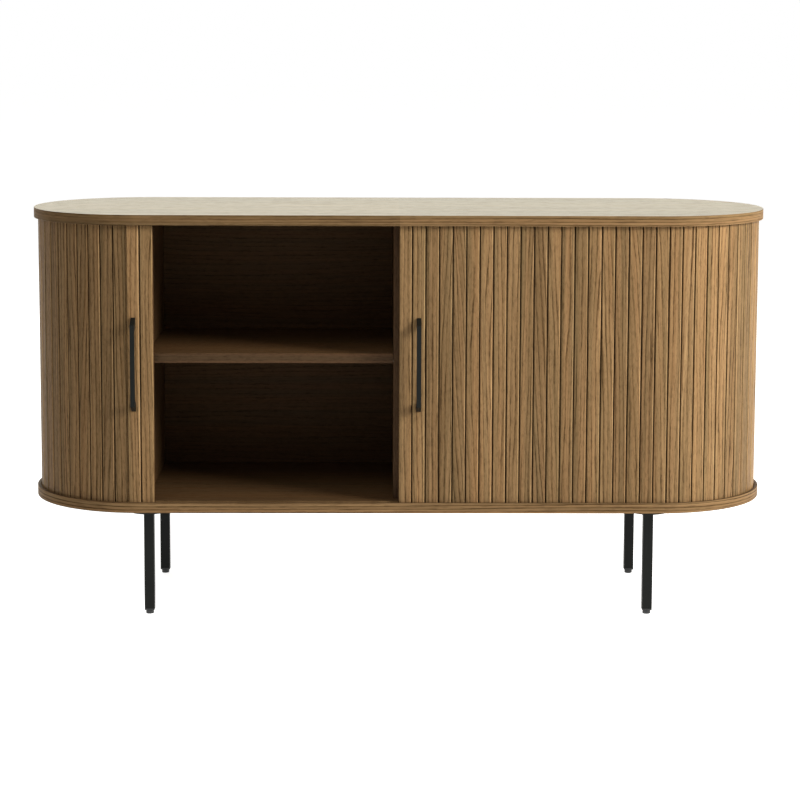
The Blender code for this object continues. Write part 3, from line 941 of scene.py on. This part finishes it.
def makeHandle():
    # its feet stand on y = 0, and z is measured from the middle
    half, reach, bar = handle["height"] / 2, handle["reach"], handle["bar"]
    outer = half - handle["endSlope"]
    inner = half - handle["foot"] - handle["innerSlope"]
    x = handle["width"] / 2

    def slide(piece, y, z, sign, amount):
        # moves the corners at a depth and a height up or down
        selectIn(piece, "verts", lambda v: near(v.co.y, y) and near(v.co.z * sign, z))
        bpy.ops.transform.translate(value=(0, 0, sign * amount))
        leaveEdit()

    piece = addBox("handle", (-x, -reach, -inner), (x, bar - reach, inner))
    for sign in (1, -1):
        selectIn(piece, "faces", lambda f: f.normal.z * sign > aligned)
        bpy.ops.mesh.extrude_region_move(
            TRANSFORM_OT_translate={"value": (0, 0, sign * (outer - inner))})
        leaveEdit()
        # the side of the new length towards the slat is drawn out to the foot
        selectIn(piece, "faces",
                 lambda f: f.normal.y > aligned and f.calc_center_median().z * sign > inner)
        bpy.ops.mesh.extrude_region_move(TRANSFORM_OT_translate={"value": (0, reach - bar, 0)})
        leaveEdit()
        slide(piece, 0, outer, sign, handle["endSlope"])
        slide(piece, 0, inner, sign, handle["innerSlope"])
        slide(piece, bar - reach, outer, sign, handle["endSlope"] * bar / reach)
    roundEdges(piece, handle["arris"], segments=3, degrees=15)
    smooth(piece, 40)
    return piece


patternHandle = makeHandle()
for side in ("left", "right"):
    low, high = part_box(f"{side}_handle")
    place = Matrix.Translation(((low.x + high.x) / 2, high.y, (low.z + high.z) / 2))
    copy = copyOf(patternHandle, f"{side}Handle", place)
    finish(copy, f"{side}_door", "black_metal", [blackSteel], [f"{side}_handle"])
drop(patternHandle)
print("handles made")


# Legs, their plates with screws, plugs and levelling feet

leg = {
    "corner": 0.0025,
    "weld": 0.0022,            # fillet of weld round the head of the tube
    "weldSteps": ((0.45, 0.45), (0.55, 1.5)),  # how far it rises and spreads, in shares of that
    "plateArris": 0.0006,
    "plateSides": 96,
    "screwCircle": 0.028,
    "screwHead": 0.0042,
    "screwHeight": 0.0018,
    "screwCrown": 0.0009,
    "screwSides": 24,
    "recess": (0.0022, 0.0004, 0.0009),        # half length, half width and depth of the cross
    "recessTurn": 0.6,
    "plugFlange": 0.003,
    "plugArris": 0.0004,
    "footArris": 0.001,
    "footHeight": 0.0075,
    "footSides": 40,
    "studRadius": 0.003,
    "studHeight": 0.006,
}


def squareBar(name, low, high):
    piece = addBox(name, low, high)
    selectIn(piece, "edges", upright)
    bpy.ops.mesh.bevel(offset=leg["corner"], segments=6, affect="EDGES")
    leaveEdit()
    return piece


def makeScrew(name, x, y, top):
    # pan head with a cross recess, hanging under its plate
    bottom = top - leg["screwHeight"]
    head = addRound(name, leg["screwHead"], bottom, top, x, y, leg["screwSides"])
    selectIn(head, "edges", lambda e: near(middleOf(e).z, bottom))
    bpy.ops.mesh.bevel(offset=leg["screwCrown"], segments=3, affect="EDGES")
    leaveEdit()
    reach = Vector(leg["recess"])
    for turn in (leg["recessTurn"], leg["recessTurn"] + math.pi / 2):
        bar = addBox(name + "Recess", -reach, reach)
        bar.data.transform(Matrix.Translation((x, y, bottom)) @ Matrix.Rotation(turn, 4, "Z"))
        cutWith(head, bar)
    return head


for depthName in ("front", "rear"):
    for sideName in ("left", "right"):
        node = f"{depthName}_{sideName}"
        label = depthName + sideName.capitalize()
        low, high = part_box(f"{node}_leg")
        middleX, middleY = (low.x + high.x) / 2, (low.y + high.y) / 2
        tube = squareBar(label + "Leg", low, high)
        # the weld: the tube's head flares out to the plate in two steps
        selectIn(tube, "faces", lambda f: f.normal.z > aligned)
        bpy.ops.transform.translate(value=(0, 0, -leg["weld"]))
        for rise, spread in leg["weldSteps"]:
            bpy.ops.mesh.extrude_region_move(
                TRANSFORM_OT_translate={"value": (0, 0, rise * leg["weld"])})
            flare = 1 + spread * leg["weld"] / (high.x - low.x)
            bpy.ops.transform.resize(
                value=(flare, flare, 1), center_override=(middleX, middleY, high.z))
        leaveEdit()
        smooth(tube, 50)
        finish(tube, "cabinet", "black_metal", [blackSteel], [f"{node}_leg"])

        low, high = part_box(f"{node}_leg_plate")
        plate = addRound(label + "Plate", (high.x - low.x) / 2, low.z, high.z, middleX, middleY,
                         leg["plateSides"])
        roundEdges(plate, leg["plateArris"], segments=3)
        smooth(plate, 40)
        finish(plate, "cabinet", "black_metal", [blackSteel], [f"{node}_leg_plate"])
        screws = []
        for number in range(4):
            angle = math.tau * (number + 0.5) / 4
            x = middleX + leg["screwCircle"] * math.cos(angle)
            y = middleY + leg["screwCircle"] * math.sin(angle)
            screws.append(makeScrew(f"{label}Screw{number}", x, y, low.z))
        screws = joinAll(screws, label + "PlateScrews")
        smooth(screws, 35)
        finish(screws, "cabinet", "bright_metal", [zincSteel])

        low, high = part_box(f"{node}_leg_plug")
        plug = squareBar(label + "Plug", low, (high.x, high.y, low.z + leg["plugFlange"]))
        roundEdges(plug, leg["plugArris"], degrees=50)
        smooth(plug, 40)
        finish(plug, "cabinet", "black_plastic", [blackNylon], [f"{node}_leg_plug"])

        low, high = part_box(f"{node}_foot")
        radius = (high.x - low.x) / 2
        foot = addRound(label + "Foot", radius, low.z, low.z + leg["footHeight"], middleX, middleY,
                        leg["footSides"])
        roundEdges(foot, leg["footArris"], segments=3)
        selectIn(foot, "faces", lambda f: f.normal.z > aligned)
        bpy.ops.mesh.inset(thickness=radius - leg["footArris"] - leg["studRadius"], depth=0)
        bpy.ops.mesh.extrude_region_move(
            TRANSFORM_OT_translate={"value": (0, 0, leg["studHeight"])})
        leaveEdit()
        smooth(foot, 40)
        finish(foot, "cabinet", "black_plastic", [blackNylon], [f"{node}_foot"])
print("legs made")


# What stays as the CAD has it: shelf pins and the handles' screws

for name, node in frame["nodes"].items():
    if name.endswith(("_pin", "_screw")):
        node.data.materials.clear()
        node.data.materials.append(zincSteel)


# Floor, light and camera

stage = {
    "floor": "#F2F1EF",
    "floorSize": 60,
    "floorGlow": 0.92,         # lifts the floor to white for the camera and keeps the shadow
    "skyLight": 0.09,
    "aim": (0, 0, 0.45),       # what the softboxes point at
    "keyPlace": (3.6, -1.9, 2.5),
    "keySize": (1.4, 1.6),
    "keyPower": 215,
    "overPlace": (-1.0, -2.2, 4.3),
    "overSize": (3.6, 2.6),
    "overPower": 46,
    "backPlace": (0.0, 3.6, 1.6),
    "backSize": (5.0, 2.2),
    "backPower": 25,
    "backTint": "#FBFDDC",
    "rearPlace": (-2.2, 4.6, 2.4),
    "rearSize": (2.4, 2.4),
    "rearPower": 75,
}
camera = {
    "place": (-0.0414, -4.2015, 1.1281),
    "yaw": 0.593,
    "pitch": 6.404,
    "roll": 0.186,
    "focalPx": 2194.0,
    "shiftPx": -140,
    "picturePx": 800,
    "sensorMm": 36,
}


def whiteToCamera(material, glow):
    # the glow for what the camera sees, straight, mirrored or through something clear
    path = addNode(material, "ShaderNodeLightPath")
    seen = path.outputs["Is Camera Ray"]
    for ray in ("Is Glossy Ray", "Is Transmission Ray"):
        seen = addNode(material, "ShaderNodeMath", {"operation": "MAXIMUM"},
                       {0: seen, 1: path.outputs[ray]})
    return addNode(material, "ShaderNodeMath", {"operation": "MULTIPLY"}, {0: seen, 1: glow})


deselectAll()
bpy.ops.mesh.primitive_grid_add(x_subdivisions=4, y_subdivisions=4, size=stage["floorSize"])
floor = bpy.context.object
floor.name = "floor"
floorPaint = newMaterial("whiteFloor")
glow = addNode(floorPaint, "ShaderNodeEmission", None,
               {"Color": (1, 1, 1, 1), "Strength": whiteToCamera(floorPaint, stage["floorGlow"])})
matt = addNode(floorPaint, "ShaderNodeBsdfDiffuse", None, {"Color": colour(stage["floor"])})
both = addNode(floorPaint, "ShaderNodeAddShader", None, {0: glow, 1: matt})
addNode(floorPaint, "ShaderNodeOutputMaterial", None, {"Surface": both})
floor.data.materials.append(floorPaint)

world = bpy.data.worlds.new("studio")
world.use_nodes = True
world.node_tree.nodes.clear()
strength = addNode(world, "ShaderNodeMath", {"operation": "ADD"},
                   {0: whiteToCamera(world, 1 - stage["skyLight"]), 1: stage["skyLight"]})
sky = addNode(world, "ShaderNodeBackground", None, {"Color": (1, 1, 1, 1), "Strength": strength})
addNode(world, "ShaderNodeOutputWorld", None, {"Surface": sky})
bpy.context.scene.world = world


def addSoftbox(name, key, mirrored=False):
    lamp = bpy.data.lights.new(name, "AREA")
    lamp.color = colour(stage.get(key + "Tint", "#FFFFFF"))[:3]
    lamp.shape = "RECTANGLE"
    lamp.size, lamp.size_y = stage[key + "Size"]
    lamp.energy = stage[key + "Power"]
    holder = bpy.data.objects.new(name, lamp)
    bpy.context.scene.collection.objects.link(holder)
    holder.location = stage[key + "Place"]
    aim = Vector(stage["aim"]) - holder.location
    holder.rotation_euler = aim.to_track_quat("-Z", "Y").to_euler()
    holder.visible_camera = False
    holder.visible_glossy = mirrored


addSoftbox("keySoftbox", "key")
addSoftbox("overheadSoftbox", "over")
addSoftbox("backSoftbox", "back", mirrored=True)
addSoftbox("rearSoftbox", "rear")

lens = bpy.data.cameras.new("camera")
lens.sensor_width = camera["sensorMm"]
lens.lens = camera["focalPx"] * camera["sensorMm"] / camera["picturePx"]
lens.shift_y = camera["shiftPx"] / camera["picturePx"]
lens.clip_end = 100
viewer = bpy.data.objects.new("camera", lens)
bpy.context.scene.collection.objects.link(viewer)
viewer.matrix_world = (
    Matrix.Translation(camera["place"])
    @ Matrix.Rotation(-math.radians(camera["yaw"]), 4, "Z")
    @ Matrix.Rotation(math.radians(90 - camera["pitch"]), 4, "X")
    @ Matrix.Rotation(math.radians(camera["roll"]), 4, "Z")
)
bpy.context.scene.camera = viewer
bpy.context.scene.view_settings.view_transform = "Standard"
print("stage made")
